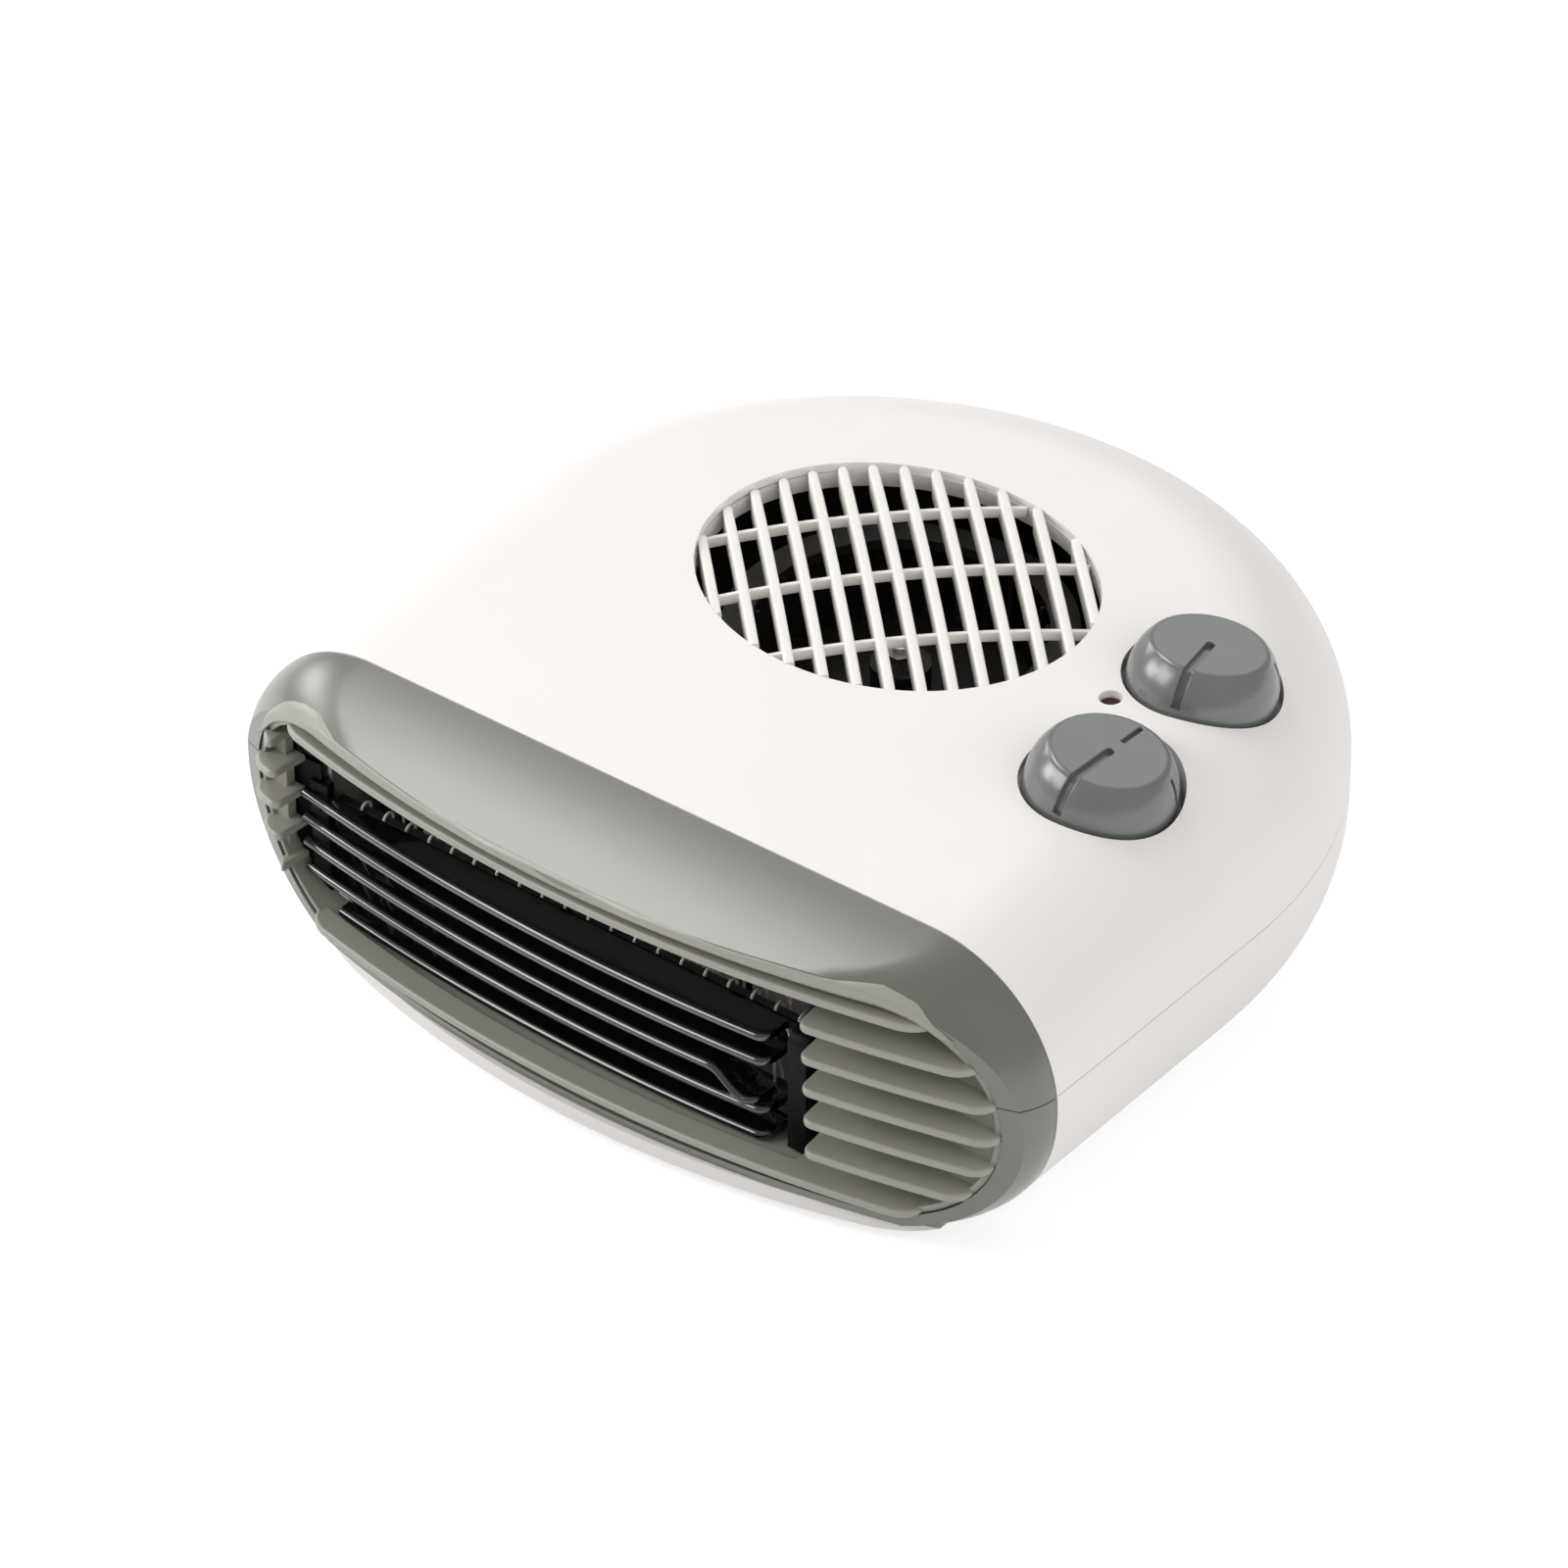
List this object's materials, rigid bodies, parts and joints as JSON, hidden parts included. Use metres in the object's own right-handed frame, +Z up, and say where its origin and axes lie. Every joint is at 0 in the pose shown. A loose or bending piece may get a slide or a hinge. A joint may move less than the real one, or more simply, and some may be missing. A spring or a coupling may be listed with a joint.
{
  "type": "fan heater",
  "caption": "flat D-shaped portable fan heater with a round-backed white shell, grey hooded mouth with louvres, black outlet guard, slanted-bar top intake and turning knobs",
  "frame": {"origin": "on the table under the middle of the bounding box", "axes": "+X to the right seen from the front, +Y from the mouth to the rear, +Z up"},
  "size_m": [0.255, 0.245, 0.1068],
  "materials": {
    "white_shell": "fine satin moulded plastic",
    "white_grille": "satin moulded plastic",
    "hood_grey": "satin warm grey moulded plastic",
    "louvre_grey": "satin warm grey moulded plastic",
    "guard_black": "glossy black moulded plastic",
    "knob_grey": "semi-gloss mid grey moulded plastic",
    "lens_red": "dark red clear plastic",
    "lamp_glass": "clear glass neon lamp",
    "duct_black": "heat-resistant black plastic",
    "mica": "pressed mica sheet",
    "resistance_wire": "bright nickel-chromium wire",
    "plated_steel": "zinc-plated steel sheet",
    "screw_steel": "zinc-plated steel",
    "bakelite": "dark thermoset plastic",
    "ceramic_white": "white ceramic body",
    "terminal_plastic": "natural nylon",
    "terminal_brass": "plain brass",
    "fan_plastic": "black glass-filled plastic",
    "shaft_steel": "ground steel",
    "laminations": "stacked electrical steel",
    "coil_copper": "enamelled copper winding",
    "bearing_bronze": "sintered bronze",
    "foot_rubber": "black rubber",
    "gland_rubber": "black rubber"
  },
  "bodies": {
    "housing": {"air_scroll": "duct_black", "bearing_lower": "bearing_bronze", "bearing_upper": "bearing_bronze", "control_screws": "screw_steel", "cord_gland": "gland_rubber", "foot_front_left": "foot_rubber", "foot_front_right": "foot_rubber", "foot_rear_left": "foot_rubber", "foot_rear_right": "foot_rubber", "front_grille": "louvre_grey", "grille_screws": "screw_steel", "guard_screws": "screw_steel", "heater_end_plates": "plated_steel", "heater_frame_front": "mica", "heater_frame_rear": "mica", "heater_winding_front": "resistance_wire", "heater_winding_rear": "resistance_wire", "housing_screws": "screw_steel", "intake_grille": "white_grille", "lower_bezel": "hood_grey", "lower_housing": "white_shell", "mode_switch": "bakelite", "motor_bolts": "screw_steel", "motor_bridge_lower": "plated_steel", "motor_bridge_upper": "plated_steel", "motor_coil": "coil_copper", "motor_screws": "screw_steel", "motor_stator": "laminations", "outlet_guard": "guard_black", "pilot_lamp": "lamp_glass", "pilot_lens": "lens_red", "scroll_screws": "screw_steel", "terminal_block": "terminal_plastic", "terminal_screws": "terminal_brass", "thermal_cutout": "bakelite", "thermal_fuse": "ceramic_white", "thermostat": "bakelite", "upper_bezel": "hood_grey", "upper_housing": "white_shell"},
    "mode_knob": {"mode_knob": "knob_grey", "mode_spindle": "shaft_steel"},
    "thermostat_knob": {"thermostat_knob": "knob_grey", "thermostat_spindle": "shaft_steel"},
    "fan": {"fan_impeller": "fan_plastic", "impeller_nut": "screw_steel", "motor_shaft": "shaft_steel", "motor_rotor": "laminations"}
  },
  "joints": [
    {"name": "mode_knob_turn", "type": "hinge", "parent": "housing", "child": "mode_knob", "pos_m": [0.0887, -0.02024, 0.08841], "axis": [0.1562, 0.0523, 0.9863], "range_deg": [-270, 0]},
    {"name": "thermostat_knob_turn", "type": "hinge", "parent": "housing", "child": "thermostat_knob", "pos_m": [0.08385, 0.02893, 0.09007], "axis": [0.0776, 0.1478, 0.986], "range_deg": [-270, 0]},
    {"name": "fan_spin", "type": "hinge", "parent": "housing", "child": "fan", "pos_m": [0, 0.015, 0.056], "axis": [0, 0, 1], "continuous": true}
  ]
}
